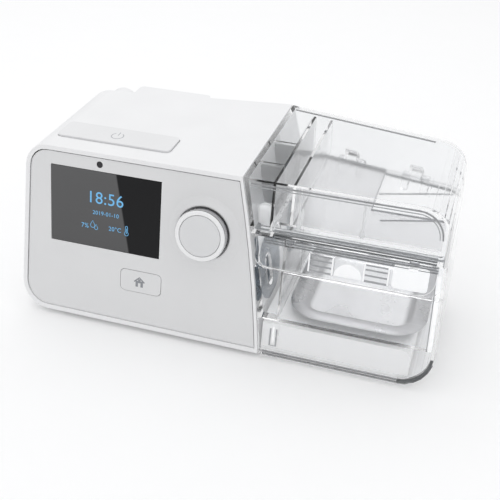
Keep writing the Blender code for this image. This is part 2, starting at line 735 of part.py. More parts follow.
def make_heater(axis):
    x0, y0, x1, y1 = PLATE
    plate = prism("heater_plate", [rectangle(x0, y0, x1, y1, 8.0)], "top", PLATE_TOP - 2.2, PLATE_TOP, STEEL)
    pad = prism("heater_element", [rectangle(x0 + 6, y0 + 6, x1 - 6, y1 - 6, 5.0)], "top",
                PLATE_TOP - 3.7, PLATE_TOP - 2.5, BLACK)
    ride(plate, axis)
    ride(pad, axis)
    turns = 3
    per_turn = 8
    low = TRAY_TOP + 1.0
    high = PLATE_TOP - 4.6
    for name, y in (("heater_spring_front", 38.0), ("heater_spring_rear", 72.0)):
        points = []
        for index in range(turns * per_turn + 1):
            angle = 2 * math.pi * index / per_turn
            height = low + (high - low) * index / (turns * per_turn)
            points.append((82.0 + 5.0 * math.cos(angle), y + 5.0 * math.sin(angle), height))
        tube(name, points, 0.55, STEEL, resolution=1)


# ---------------------------------------------------------------- water tank

def panel_point(v, n):
    """Device-frame (y, z) of a point at v up the front slope and n out of it."""
    return (v * math.sin(TILT) - n * math.cos(TILT), FOOT_HEIGHT + v * math.cos(TILT) + n * math.sin(TILT))


def make_tank(axis):
    tank = form("tank_body", tank_outline(0, 0), 0, 0, 0.0, TANK_TOP, CLEAR)
    skirt = form("skirt_room", tank_outline(CLEAR_WALL, -20.0), CLEAR_WALL, CLEAR_WALL, -5.0, FLOOR[0])
    below = box("skirt_opening", (SPLIT_BOTTOM_X - 10, 3.2, -2.0), (PLATFORM[2] + 2, PLATFORM[3] + 2, 8.0))
    chamber = form("chamber_room", tank_outline(CLEAR_WALL, 0), CLEAR_WALL, CLEAR_WALL, FLOOR[1], 120.0)
    common(chamber, box("chamber_side", (DUCT_WALL_X + 1.6, -5.0, 0.0), (150.0, 150.0, 130.0)))
    ledge_z = panel_point(FLAP_BOTTOM, 0)[1] - 2.4
    upper_front = [(front_y(ledge_z) - 30, ledge_z), (front_y(ledge_z) + RECESS + CLEAR_WALL, ledge_z),
                   (front_y(130.0) + RECESS + CLEAR_WALL, 130.0), (front_y(130.0) - 30, 130.0)]
    cut(chamber, prism("chamber_front_step", [upper_front], "side", -10.0, 150.0))
    duct_outline = tank_outline(CLEAR_WALL, CLEAR_WALL - 0.2)
    duct = form("duct_room", duct_outline, CLEAR_WALL, RECESS + CLEAR_WALL, FLOOR[1], 120.0)
    common(duct, box("duct_side", (0.0, -5.0, 0.0), (DUCT_WALL_X, 150.0, 130.0)))
    cut(duct, box("duct_cross_wall", (0.0, 61.0, 0.0), (60.0, 62.6, 130.0)))
    pan_hole = prism("pan_hole", [grown(PLATE, 2.0, 10.0)], "top", 10.0, 40.0)
    cut(tank, skirt, below, chamber, duct, pan_hole)
    recess = rectangle(-20.0, FLAP_BOTTOM - 0.5, 200.0, 140.0)
    cut(tank, prism("flap_recess", [recess], "panel", -RECESS, 5.0))
    for y, z in (OUTLET_PORT, RETURN_PORT):
        hole = slot_outline(y, z, PORT_HALF_WIDTH - 2.4, PORT_HALF_HEIGHT - 2.4)
        cut(tank, prism("tank_port", [hole], "side", 12.0, 32.0))
    for x in CATCH_X:
        low = (x - 7.5, FLAP_BOTTOM + 2.0, -RECESS - 0.5)
        high = (x + 7.5, FLAP_BOTTOM + 13.0, -RECESS + 1.7)
        join(tank, box("latch_catch", low, high, None, "panel"))
    add_hinge_ears(tank)
    ride(tank, axis)


def wall_frame(x):
    """Frame on the tank's rear wall: local X along the wall, local Y out of it."""
    turn = math.atan(RIGHT_SLOPE)
    return Matrix.Translation((x * MM, rear_y(x) * MM, 0)) @ Matrix.Rotation(turn, 4, "Z")


def lie_on_hinge(item, x):
    """Turns an upright turned piece onto the lid hinge's axis, at x along the wall."""
    lie = Matrix.Translation((0, HINGE_OFFSET * MM, HINGE_Z * MM)) @ Matrix.Rotation(math.pi / 2, 4, "Y")
    item.matrix_basis = wall_frame(x) @ lie
    return item


def knuckle(target, label, x, start, end, side):
    """Joins a hinge knuckle to the tank (side -1, web below the pin) or to the lid (side 1, web above)."""
    inner = HINGE_OFFSET - BARREL_RADIUS
    outer = HINGE_OFFSET + BARREL_RADIUS
    bend = BARREL_RADIUS - 0.01
    corners = [(-1.2, side * 9.0, 0), (-1.2, side * 1.9, 0), (inner, side * 1.9, 0),
               (inner, -side * BARREL_RADIUS, bend), (outer, -side * BARREL_RADIUS, bend),
               (outer, side * 4.0, 1.0), (1.5, side * 9.0, 0)]
    outline = [(y, z + HINGE_Z) for y, z in rounded(corners)]
    tab = prism(label, [outline, circle(HINGE_OFFSET, HINGE_Z, PIN_RADIUS + 0.2, 16)], "side", start, end)
    tab.matrix_basis = wall_frame(x) @ tab.matrix_basis
    join(target, tab)


def add_hinge_ears(tank):
    for index, x in enumerate(HINGE_X):
        for part, (a, b) in enumerate(((-9.0, -4.4), (4.4, 9.0))):
            knuckle(tank, f"tank_ear_{index}{part}", x, a, b, -1)


def make_hinge_pins(axis):
    for name, x in (("hinge_pin_left", HINGE_X[0]), ("hinge_pin_right", HINGE_X[1])):
        pin = disc(name, PIN_RADIUS, -8.8, 8.8, "top", (0, 0, 0), STEEL, 20)
        ride(lie_on_hinge(pin, x), axis)


def make_pan(axis):
    low = PLATE_TOP + FIT
    flange = FLOOR[1] + 1.6
    sheet = 0.8
    pan = prism("heat_pan", [grown(PLATE, 1.6, 9.6)], "top", low, flange + sheet, STEEL)
    rim = prism("pan_flange", [grown(PLATE, 11.5, 18.0)], "top", flange, flange + sheet)
    room = prism("pan_room", [grown(PLATE, 0.8, 8.8)], "top", low + sheet, flange + 5)
    join(pan, rim)
    cut(pan, room)
    ride(pan, axis)
    outlines = [grown(PLATE, 6.5, 13.5), grown(PLATE, 3.0, 11.0)]
    seal = prism("pan_seal", outlines, "top", FLOOR[1] + FIT, flange - FIT, RUBBER)
    ride(seal, axis)


def seam_outline(front_inset, inset, z):
    left = split_x(z) + SPLIT_GAP + inset
    right = right_x(z) - inset
    return rounded([(left, front_y(z) + front_inset, 1.5), (right, front_y(z) + front_inset, 1.5),
                    (right, rear_y(right) - inset, REAR_RIGHT_RADIUS - inset),
                    (left, rear_y(left) - inset, 1.5)])


def make_gasket(axis):
    outer = seam_outline(RECESS + 0.4, 0.5, TANK_TOP)
    inner = seam_outline(RECESS + 2.6, 2.7, TANK_TOP)
    ride(prism("lid_gasket", [outer, inner], "top", TANK_TOP + FIT, LID_BOTTOM - FIT, RUBBER), axis)


# ---------------------------------------------------------------- lid and flap

def make_lid(axis):
    lid = form("lid_shell", tank_outline(0, 0), 0, 0, LID_BOTTOM, TOP_Z + 5, CLEAR)
    room = form("lid_room", tank_outline(2.0, 2.0), 2.0, 2.0, LID_BOTTOM - 5, TOP_Z + 5)
    outlines = [seam_outline(0.2, 0.2, LID_BOTTOM), seam_outline(RECESS + 3.4, 3.4, LID_BOTTOM)]
    cut(room, prism("lid_flange", outlines, "top", LID_BOTTOM - 0.5, LID_BOTTOM + 2.0))
    half = LID_WALL_THICKNESS / 2
    ceiling = TOP_Z + 1
    for x, low, rear in zip(LID_INNER_WALLS, (LID_BOTTOM - 1, LID_BOTTOM + 8), (118.0, 116.0)):
        cut(room, box("lid_wall", (x - half, 20.0, low), (x + half, rear, ceiling)))
    for y in LID_CROSS_WALLS:
        cut(room, box("lid_cross", (5.0, y - half, LID_BOTTOM + 4), (LID_INNER_WALLS[0], y + half, ceiling)))
    cut(lid, room)
    for x in FLAP_EAR_X:
        low = (x - 2.2, FLAP_TOP - 3.4, -1.9)
        high = (x + 2.2, FLAP_TOP + 2.5, -0.3)
        join(lid, box("flap_ear", low, high, None, "panel"))
    for index, x in enumerate(HINGE_X):
        knuckle(lid, f"lid_knuckle_{index}", x, -4.0, 4.0, 1)
    ride(lid, axis)


def make_baffle(axis):
    """L-shaped plate under the lid that keeps splashes out of the return duct."""
    z = LID_BOTTOM + 3.0
    x_left = LID_INNER_WALLS[0] + 1.4
    front = front_y(z) + 9.0
    right = right_x(z) - 5.0
    rear_left = rear_y(x_left) - 9.0
    rear_edge = rear_y(BAFFLE_EDGE_X) - 9.0
    corners = [(x_left, front), (right, front), (right, BAFFLE_EDGE_Y), (BAFFLE_EDGE_X, BAFFLE_EDGE_Y),
               (BAFFLE_EDGE_X, rear_edge), (x_left, rear_left)]
    outline = rounded([(x, y, 2.0) for x, y in corners])
    plate = prism("lid_baffle", [outline], "top", z, z + 1.6, CLEAR)
    ride(plate, axis)


def make_flap(axis):
    left = split_x(62.0) + SPLIT_GAP + 0.6
    right = right_x(66.0) - 0.8
    outline = rounded([(left, FLAP_BOTTOM, 6.0), (right, FLAP_BOTTOM, 10.0),
                       (right, FLAP_TOP, 1.0), (left, FLAP_TOP, 1.0)])
    flap = prism("latch_flap", [outline], "panel", -FLAP_THICKNESS, 0.0, CLEAR)
    for x in FLAP_EAR_X:
        low = (x - 2.7, FLAP_TOP - 4.0, -6.0)
        high = (x + 2.7, FLAP_TOP + 5.0, 4.0)
        cut(flap, box("flap_notch", low, high, None, "panel"))
    ride(flap, axis)


# ---------------------------------------------------------------- assembly

def axis_on_panel(name, x, v, n=0.0):
    y, z = panel_point(v, n)
    return empty(name, (x, y, z), UNIT, math.pi / 2 - TILT)


def lid_axis_empty():
    """On the line of the hinge pins, turned to run along the rear wall."""
    turn = math.atan(RIGHT_SLOPE)
    x = HINGE_X[0] - HINGE_OFFSET * math.sin(turn)
    y = rear_y(HINGE_X[0]) + HINGE_OFFSET * math.cos(turn)
    return empty("lid_axis", (x, y, HINGE_Z), UNIT, 0.0, turn)


def build():
    make_casing()
    make_tray()
    make_screws()
    make_feet()
    make_panel()
    make_screen()
    make_control_board()
    make_home_button(axis_on_panel("home_button_axis", *centre_of(HOME)))
    make_encoder(axis_on_panel("knob_turn_axis", *KNOB), axis_on_panel("knob_push_axis", *KNOB))
    make_power_button(empty("power_button_axis", (*centre_of(POWER), TOP_Z), UNIT))
    make_electronics()
    make_blower(empty("impeller_axis", (*BLOWER, VOLUTE_Z[1]), UNIT))
    make_ducts()
    make_hose_port()
    make_filter(empty("filter_door_axis", (sum(FILTER) / 2, FILTER_REAR_Y, sum(FILTER_Z) / 2), UNIT))
    make_heater(empty("heater_plate_axis", (*centre_of(PLATE), PLATE_TOP), UNIT))
    tank_axis = empty("tank_axis", (SPLIT_BOTTOM_X, 55.0, FOOT_HEIGHT), UNIT)
    make_tank(tank_axis)
    make_hinge_pins(tank_axis)
    make_pan(tank_axis)
    make_gasket(tank_axis)
    lid_axis = lid_axis_empty()
    make_lid(lid_axis)
    make_baffle(lid_axis)
    make_flap(axis_on_panel("flap_axis", *centre_of(PLATE)[:1], *FLAP_PIVOT))


build()
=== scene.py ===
"""Visual model of a bedside ventilator with a heated water tank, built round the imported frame."""
import json
import math

import bmesh
import bpy
from mathutils import Matrix, Vector


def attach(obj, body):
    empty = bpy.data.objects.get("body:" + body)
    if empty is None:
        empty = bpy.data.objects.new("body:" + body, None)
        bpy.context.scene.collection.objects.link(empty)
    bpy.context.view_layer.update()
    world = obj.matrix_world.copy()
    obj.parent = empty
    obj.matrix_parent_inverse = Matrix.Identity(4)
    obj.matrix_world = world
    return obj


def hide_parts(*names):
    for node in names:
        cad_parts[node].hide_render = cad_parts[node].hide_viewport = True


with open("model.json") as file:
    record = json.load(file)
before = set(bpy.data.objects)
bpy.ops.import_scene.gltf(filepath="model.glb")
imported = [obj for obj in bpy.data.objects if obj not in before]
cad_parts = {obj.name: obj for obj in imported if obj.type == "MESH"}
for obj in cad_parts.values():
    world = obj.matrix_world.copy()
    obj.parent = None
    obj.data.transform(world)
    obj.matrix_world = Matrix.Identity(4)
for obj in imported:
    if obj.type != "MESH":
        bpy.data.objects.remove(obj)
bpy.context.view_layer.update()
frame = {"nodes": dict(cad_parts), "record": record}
NODES = frame["nodes"]

# Driving sizes in millimetres: x from the middle of the width, y from the foot of the front slope,
# z from the floor
MM = 0.001
HALF_DEPTH = 65.5
FOOT = 3.0
FRONT_LEAN = 24.0
CASE_HEIGHT = 106.0
SPLIT_BOTTOM_X = 28.1
SPLIT_FALL = 0.10
SPLIT_CURVE = 0.00066
BUTTON_TOP = 110.2
SCREEN_FACE = -0.66
BAFFLE_TOP = 82.05
LID_CEILING = 105.9
WALL_BACK = 2.7

# Steel pan: the floor's rectangle, then its section from the flange down as (distance out, height)
PAN = (52.0, 22.0, 112.0, 88.0)
PAN_SECTION = (
    (11.3, 29.0), (11.3, 29.5), (10.9, 29.8), (4.0, 29.8), (3.0, 29.75), (2.2, 29.4), (1.4, 28.6),
    (0.2, 26.6), (-0.9, 25.2), (-2.2, 24.5), (-4.2, 24.25), (-9.0, 24.2),
)
SHEET = 0.55

# Air ports in the unit's side wall and catches in the tank's front
PORT_Z = 44.0
OUTLET_PORT_Y = 33.0
RETURN_PORT_Y = 92.0
CATCH_X = (60.0, 92.0)

TILT = math.atan2(FRONT_LEAN, CASE_HEIGHT)
PANEL = (Matrix.Translation((0, -HALF_DEPTH * MM, FOOT * MM))
         @ Matrix.Rotation(math.pi / 2 - TILT, 4, "X"))
TOP = Matrix.Translation((0, -HALF_DEPTH * MM, 0))

# Camera: azimuth to the right of straight ahead, elevation above level
FOCAL = 59.98
AZIMUTH = math.radians(17.346)
ELEVATION = math.radians(33.558)
ROLL = math.radians(0.765)
TARGET = Vector((22.584, -HALF_DEPTH, 77.213)) * MM
DISTANCE = 465.66 * MM


# ---------------------------------------------------------------- materials

class Graph:
    """Small helper for building a material's node tree."""

    def __init__(self, name):
        self.mat = bpy.data.materials.new(name)
        self.mat.use_nodes = True
        self.tree = self.mat.node_tree
        self.shader = self.tree.nodes["Principled BSDF"]
        self.output = self.tree.nodes["Material Output"]
        self.coords = self.tree.nodes.new("ShaderNodeTexCoord").outputs["Object"]

    def add(self, kind, **settings):
        node = self.tree.nodes.new(kind)
        for key, value in settings.items():
            setattr(node, key, value)
        return node

    def link(self, source, target):
        self.tree.links.new(source, target)

    def stretched(self, scale):
        mapping = self.add("ShaderNodeMapping")
        mapping.inputs["Scale"].default_value = scale
        self.link(self.coords, mapping.inputs["Vector"])
        return mapping.outputs["Vector"]

    def noise(self, scale, detail=3.0, vector=None):
        node = self.add("ShaderNodeTexNoise")
        node.inputs["Scale"].default_value = scale
        node.inputs["Detail"].default_value = detail
        self.link(vector or self.coords, node.inputs["Vector"])
        return node.outputs["Fac"]

    def remap(self, value, low, high, from_low=0.3, from_high=0.7):
        node = self.add("ShaderNodeMapRange")
        node.inputs["From Min"].default_value = from_low
        node.inputs["From Max"].default_value = from_high
        node.inputs["To Min"].default_value = low
        node.inputs["To Max"].default_value = high
        self.link(value, node.inputs["Value"])
        return node.outputs["Result"]

    def mix(self, factor, first, second):
        node = self.add("ShaderNodeMix", data_type="RGBA")
        self.link(factor, node.inputs["Factor"])
        for socket, value in ((node.inputs[6], first), (node.inputs[7], second)):
            if isinstance(value, bpy.types.NodeSocket):
                self.link(value, socket)
            else:
                socket.default_value = (*value, 1.0)
        return node.outputs[2]

    def math(self, operation, first, second):
        node = self.add("ShaderNodeMath", operation=operation)
        for socket, value in zip(node.inputs, (first, second)):
            if isinstance(value, bpy.types.NodeSocket):
                self.link(value, socket)
            else:
                socket.default_value = value
        return node.outputs[0]

    def bump(self, height, strength, distance):
        node = self.add("ShaderNodeBump")
        node.inputs["Strength"].default_value = strength
        node.inputs["Distance"].default_value = distance
        self.link(height, node.inputs["Height"])
        self.link(node.outputs["Normal"], self.shader.inputs["Normal"])

    def set(self, **values):
        for key, value in values.items():
            self.shader.inputs[key.replace("_", " ")].default_value = value


def shades(colour, spread):
    """A slightly darker and a slightly lighter version of a colour."""
    return tuple(c * (1 - spread) for c in colour), tuple(min(1.0, c * (1 + spread)) for c in colour)


def plastic(name, colour, rough=(0.38, 0.50), grain=2600.0, bump=0.12, spread=0.012, lift=0.0):
    """Moulded plastic: a fine spark-eroded grain, faint mottling and light handling marks.

    A lift above zero adds a painted glow: white emission that brightens the plastic though it is no lamp.
    """
    g = Graph(name)
    dark, light = shades(colour, spread)
    g.link(g.mix(g.remap(g.noise(38.0, 4.0), 0.0, 1.0), dark, light), g.shader.inputs["Base Color"])
    marks = g.noise(9.0, 6.0, g.stretched((1.0, 6.0, 1.0)))
    g.link(g.remap(marks, *rough), g.shader.inputs["Roughness"])
    g.bump(g.noise(grain, 2.0), bump, 0.00006)
    g.set(IOR=1.5)
    # Painted glow: white emission brightens the plastic though it is no lamp.
    if lift > 0:
        g.set(Emission_Color=(1.0, 1.0, 1.0, 1.0), Emission_Strength=lift)
    return g.mat


def metal(name, colour, rough, along, bump=0.15):
    """Drawn or brushed metal with its lines along one axis."""
    g = Graph(name)
    dark, light = shades(colour, 0.05)
    lines = g.noise(1.0, 3.0, g.stretched(along))
    g.link(g.mix(g.remap(lines, 0.0, 1.0), dark, light), g.shader.inputs["Base Color"])
    g.link(g.remap(g.noise(45.0, 4.0), *rough), g.shader.inputs["Roughness"])
    g.bump(lines, bump, 0.00003)
    g.set(Metallic=1.0)
    return g.mat


def pan_steel():
    """Formed stainless sheet with painted light: the flat floor painted bright as a painted reflection, the
    walls and flange painted darker as painted shade.
    """
    g = Graph("pan_steel_painted_sheen")
    lines = g.noise(1.0, 3.0, g.stretched((30.0, 1800.0, 1800.0)))
    worn = g.noise(60.0, 4.0)
    split = g.add("ShaderNodeSeparateXYZ")
    g.link(g.coords, split.inputs[0])
    # Painted light by height: the low flat floor takes the bright painted reflection, the higher walls and
    # flange the darker painted shade.
    height = g.remap(split.outputs["Z"], 0.0, 1.0, 0.0244, 0.0262)
    floor = g.mix(g.remap(worn, 0.0, 1.0), (0.88, 0.88, 0.89), (0.95, 0.95, 0.96))
    wall = g.mix(g.remap(lines, 0.0, 1.0), (0.52, 0.52, 0.53), (0.62, 0.62, 0.63))
    g.link(g.mix(height, floor, wall), g.shader.inputs["Base Color"])
    g.link(g.remap(worn, 0.24, 0.36), g.shader.inputs["Roughness"])
    g.bump(lines, 0.08, 0.00003)
    g.set(Metallic=1.0)
    return g.mat


def clear_plastic(name, colour, rough=(0.02, 0.06), see_light=0.99):
    """Clear moulded wall: gentle flow waviness, faint smudges, and lamps shine through it."""
    g = Graph(name)
    dark, light = shades(colour, 0.008)
    g.link(g.mix(g.remap(g.noise(30.0, 3.0), 0.0, 1.0), dark, light), g.shader.inputs["Base Color"])
    g.link(g.remap(g.noise(22.0, 5.0), *rough), g.shader.inputs["Roughness"])
    g.bump(g.noise(55.0, 2.0), 0.05, 0.0004)
    g.set(IOR=1.46, Transmission_Weight=1.0)
    path = g.add("ShaderNodeLightPath")
    through = g.add("ShaderNodeBsdfTransparent")
    through.inputs["Color"].default_value = (see_light, see_light, see_light, 1.0)
    crossed = g.math("GREATER_THAN", path.outputs["Transmission Depth"], 6.5)
    trapped = g.math("GREATER_THAN", path.outputs["Glossy Depth"], 1.5)
    deep = g.math("MAXIMUM", crossed, trapped)
    blend = g.add("ShaderNodeMixShader")
    g.link(g.math("MAXIMUM", path.outputs["Is Shadow Ray"], deep), blend.inputs[0])
    g.link(g.shader.outputs[0], blend.inputs[1])
    g.link(through.outputs[0], blend.inputs[2])
    g.link(blend.outputs[0], g.output.inputs["Surface"])
    return g.mat


def screen_glass():
    """Black display lens with a painted reflection: its left part painted lighter, and lighter towards the
    top, parted from the dark right part by a slanted line.
    """
    g = Graph("screen_glass")
    split = g.add("ShaderNodeSeparateXYZ")
    g.link(g.coords, split.inputs[0])
    # Painted reflection: a slanted line parts a lighter left part from the black right part of the lens.
    slanted = g.math("ADD", split.outputs["X"], g.math("MULTIPLY", split.outputs["Z"], 0.20))
    edge = g.remap(slanted, 1.0, 0.0, -0.0492, -0.0482)
    # The painted reflection grows lighter towards the top.
    reflection_fade = g.remap(split.outputs["Z"], 0.82, 1.0, 0.05, 0.098)
    light = g.mix(reflection_fade, (0.060, 0.060, 0.061), (0.118, 0.118, 0.120))
    g.link(g.mix(edge, (0.014, 0.014, 0.015), light), g.shader.inputs["Base Color"])
    g.link(g.remap(g.noise(60.0, 5.0), 0.10, 0.18), g.shader.inputs["Roughness"])
    g.bump(g.noise(30.0, 2.0), 0.02, 0.0001)
    g.set(Specular_IOR_Level=0.12)
    return g.mat


def glow(name, colour, strength):
    """Lit display segments."""
    g = Graph(name)
    dark, light = shades(colour, 0.06)
    g.link(g.mix(g.remap(g.noise(900.0, 1.0), 0.0, 1.0), dark, light), g.shader.inputs["Emission Color"])
    g.set(Base_Color=(0.0, 0.0, 0.0, 1.0), Emission_Strength=strength, Roughness=0.6)
    return g.mat


def foam(name, colour):
    """Open-cell foam with dark pores."""
    g = Graph(name)
    cells = g.add("ShaderNodeTexVoronoi")
    cells.inputs["Scale"].default_value = 700.0
    g.link(g.coords, cells.inputs["Vector"])
    pore = cells.outputs["Distance"]
    dark, light = shades(colour, 0.4)
    g.link(g.mix(g.remap(pore, 0.0, 1.0, 0.1, 0.7), dark, light), g.shader.inputs["Base Color"])
    g.link(g.remap(g.noise(90.0), 0.88, 0.98), g.shader.inputs["Roughness"])
    g.bump(pore, 0.9, 0.0008)
    return g.mat


def laminate(name):
    """Green circuit laminate with copper tracks under the lacquer."""
    g = Graph(name)
    tracks = g.add("ShaderNodeTexBrick")
    tracks.inputs["Scale"].default_value = 160.0
    tracks.inputs["Mortar Size"].default_value = 0.035
    tracks.inputs["Color1"].default_value = (0.015, 0.115, 0.045, 1.0)
    tracks.inputs["Color2"].default_value = (0.018, 0.130, 0.052, 1.0)
    tracks.inputs["Mortar"].default_value = (0.05, 0.24, 0.09, 1.0)
    g.link(g.coords, tracks.inputs["Vector"])
    g.link(tracks.outputs["Color"], g.shader.inputs["Base Color"])
    g.link(g.remap(g.noise(120.0), 0.30, 0.45), g.shader.inputs["Roughness"])
    g.bump(tracks.outputs["Fac"], 0.3, 0.00005)
    return g.mat


WHITE = plastic("white_plastic", (0.86, 0.862, 0.868), rough=(0.30, 0.42))
# The tray white carries a faint painted glow that lightens the tray where it sits in shade.
TRAY_WHITE = plastic("tray_white", (0.955, 0.957, 0.96), rough=(0.34, 0.46), lift=0.07)
GREY = plastic("grey_fascia", (0.74, 0.742, 0.747), rough=(0.36, 0.50), grain=3400.0)
KNOB_WHITE = plastic("knob_white", (0.88, 0.882, 0.886), rough=(0.22, 0.32), grain=4000.0, bump=0.05)
CAP_GREY = plastic("knob_cap_grey", (0.72, 0.725, 0.733), rough=(0.40, 0.50), grain=3000.0)
CLEAR = clear_plastic("clear_tank", (0.985, 0.988, 0.992))
CLEAR_LID = clear_plastic("clear_lid", (0.975, 0.98, 0.985), rough=(0.03, 0.08))
FROST = clear_plastic("clear_baffle", (0.84, 0.84, 0.848), rough=(0.10, 0.20))
STEEL = metal("pan_steel", (0.70, 0.70, 0.71), (0.22, 0.34), (30.0, 2200.0, 2200.0))
PLATE_STEEL = metal("plate_steel", (0.62, 0.62, 0.63), (0.26, 0.40), (2200.0, 30.0, 2200.0))
CHROME = metal("knob_chrome", (0.52, 0.52, 0.53), (0.06, 0.12), (900.0, 900.0, 20.0), bump=0.03)
SILICONE = plastic("silicone", (0.115, 0.15, 0.19), rough=(0.48, 0.62), grain=1500.0, bump=0.08,
                   spread=0.05)
SEAM = plastic("gasket_silicone", (0.24, 0.25, 0.265), rough=(0.40, 0.52), grain=1500.0, bump=0.08,
               spread=0.04)
FEET = plastic("foot_rubber", (0.10, 0.10, 0.105), rough=(0.7, 0.85), grain=1200.0, bump=0.3, spread=0.08)
BLACK = plastic("black_plastic", (0.03, 0.03, 0.033), rough=(0.42, 0.58), spread=0.10)
DUCT = plastic("duct_plastic", (0.60, 0.62, 0.64), rough=(0.42, 0.55), spread=0.03)
LENS = screen_glass()
SENSOR = plastic("sensor_lens", (0.015, 0.015, 0.018), rough=(0.10, 0.18), bump=0.02, spread=0.05)
FOAM = foam("grey_foam", (0.24, 0.25, 0.27))
BOARD = laminate("board_laminate")
BLUE = glow("display_blue", (0.16, 0.46, 0.78), 1.0)
ICON = plastic("printed_grey", (0.27, 0.28, 0.30), rough=(0.45, 0.55), spread=0.05)
ICON_PALE = plastic("printed_pale_grey", (0.42, 0.43, 0.45), rough=(0.45, 0.55), spread=0.05)

STEEL_PAN = pan_steel()
RAIL = clear_plastic("rail_clear", (0.80, 0.81, 0.82), rough=(0.1, 0.2))
BUTTON_WHITE = plastic("button_white", (0.79, 0.792, 0.798), rough=(0.34, 0.46))
LIP = plastic("baffle_lip_grey", (0.42, 0.425, 0.44), rough=(0.2, 0.3), bump=0.03)
# Grey-tinted clear plastic whose tint is painted shade.
CLEAR_PAINTED_SHADE = clear_plastic("clear_wall_painted_shade", (0.50, 0.51, 0.52), rough=(0.25, 0.4))
BEAD = plastic("bead_grey", (0.30, 0.30, 0.31), rough=(0.2, 0.3), bump=0.03)
STRIP = plastic("strip_grey", (0.10, 0.105, 0.11), rough=(0.3, 0.45))
# The pad white and milky rib plastics carry a painted glow: white emission, strong in the first and faint in
# the second, though neither is a lamp.
PAINTED_GLOW_WHITE = plastic("painted_glow_white", (0.95, 0.95, 0.955), rough=(0.2, 0.3), bump=0.03, lift=0.28)
MILKY = plastic("rib_milky", (0.80, 0.805, 0.81), rough=(0.12, 0.2), bump=0.03, lift=0.08)

FINISH = {
    "white_casing": WHITE, "grey_panel": GREY, "screen_glass": LENS, "clear_plastic": CLEAR,
    "brushed_steel": STEEL, "chrome": CHROME, "silicone": SILICONE, "rubber_feet": FEET,
    "circuit_board": BOARD, "black_plastic": BLACK, "filter_foam": FOAM, "duct_plastic": DUCT,
}
SPECIAL = {
    "knob_body": KNOB_WHITE, "knob_cap": CAP_GREY, "light_sensor_window": SENSOR,
    "lid_shell": CLEAR_LID, "latch_flap": CLEAR_LID, "lid_baffle": FROST,
    "heater_plate": PLATE_STEEL, "lid_gasket": SEAM, "base_tray": TRAY_WHITE, "power_button": BUTTON_WHITE,
}
SOFT_EDGES = {
    "main_casing": 0.9, "front_fascia": 0.35, "power_button": 0.5, "home_button": 0.35,
    "filter_door": 0.7, "hose_port": 0.3, "base_tray": 0.8, "latch_flap": 0.4, "heat_pan": 0.3,
    "screen_lens": 0.12, "tank_body": 0.5, "lid_shell": 0.6, "lid_baffle": 0.3,
}


def set_material(item, mat):
    """Leaves the object with this one material."""
    item.data.materials.clear()
    item.data.materials.append(mat)


def soften(item, width):
    """Rounds the sharp edges by a small radius."""
    bevel = item.modifiers.new("soft_edges", "BEVEL")
    bevel.width = width * MM
    bevel.segments = 3
    bevel.limit_method = "ANGLE"
    bevel.angle_limit = math.radians(38.0)
    bevel.harden_normals = True
    bevel.use_clamp_overlap = True


def dress_cad():
    """Gives each CAD part its material and the softened ones their edge radius."""
    for row in frame["record"]["subparts"]:
        name = row["node"]
        set_material(NODES[name], SPECIAL.get(name, FINISH[row["material_slot"]]))
    for name, width in SOFT_EDGES.items():
        soften(NODES[name], width)


# ---------------------------------------------------------------- places on the device

def split_x(z):
    """Right-hand limit of the unit at height z."""
    rise = z - FOOT
    return SPLIT_BOTTOM_X - SPLIT_FALL * rise - SPLIT_CURVE * rise * rise


def front_y(z):
    """How far the leaning front has gone back at height z."""
    return FRONT_LEAN * (z - FOOT) / CASE_HEIGHT


def on_panel(z):
    """Distance up the front slope of a point at height z."""
    return (z - FOOT) / math.cos(TILT)


def at_height(z):
    """Frame of a level plane at height z."""
    return TOP @ Matrix.Translation((0, 0, z * MM))


def in_panel(x, v, n):
    """Frame at x and v in the front slope and n out of it."""
    return PANEL @ Matrix.Translation((x * MM, v * MM, n * MM))


# ---------------------------------------------------------------- piece building

def new_piece(name, mesh, matrix, mat, body):
    """Places a mesh as a piece that rides on a body."""
    item = bpy.data.objects.new(name, mesh)
    bpy.context.scene.collection.objects.link(item)
    item.matrix_world = matrix
    mesh.materials.append(mat)
    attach(item, body)
    return item


def strip(points, width, closed=False):
    """Left and right edges of a flat line of constant width through the points."""
    left = []
    right = []
    count = len(points)
    for i, point in enumerate(points):
        here = Vector(point)
        ahead = Vector(points[(i + 1) % count] if closed or i + 1 < count else point)
        behind = Vector(points[i - 1] if closed or i > 0 else point)
        along = (ahead - behind).normalized()
        side = Vector((-along.y, along.x)) * width / 2
        left.append(here + side)
        right.append(here - side)
    return left, right


def line_mesh(name, lines, thickness):
    """Raised flat lines: each one is (points, width, closed) in the local XY plane, in millimetres."""
    shape = bmesh.new()
    for points, width, closed in lines:
        left, right = strip(points, width, closed)
        rows = []
        for height in (0.0, thickness):
            rows.append([shape.verts.new((p.x * MM, p.y * MM, height * MM)) for p in left])
            rows.append([shape.verts.new((p.x * MM, p.y * MM, height * MM)) for p in right])
        low_left, low_right, high_left, high_right = rows
        count = len(points)
        for i in range(count if closed else count - 1):
            j = (i + 1) % count
            shape.faces.new((high_right[i], high_right[j], high_left[j], high_left[i]))
            shape.faces.new((low_left[i], low_left[j], low_right[j], low_right[i]))
            shape.faces.new((high_left[i], high_left[j], low_left[j], low_left[i]))
            shape.faces.new((low_right[i], low_right[j], high_right[j], high_right[i]))
        if not closed:
            for i in (0, count - 1):
                shape.faces.new((low_left[i], low_right[i], high_right[i], high_left[i]))
    bmesh.ops.recalc_face_normals(shape, faces=shape.faces)
    mesh = bpy.data.meshes.new(name)
    shape.to_mesh(mesh)
    shape.free()
    return mesh


def arc(x, y, radius, start, end, count=24):
    """Points along an arc, with the angles in degrees."""
    angles = [math.radians(start + (end - start) * i / count) for i in range(count + 1)]
    return [(x + radius * math.cos(a), y + radius * math.sin(a)) for a in angles]


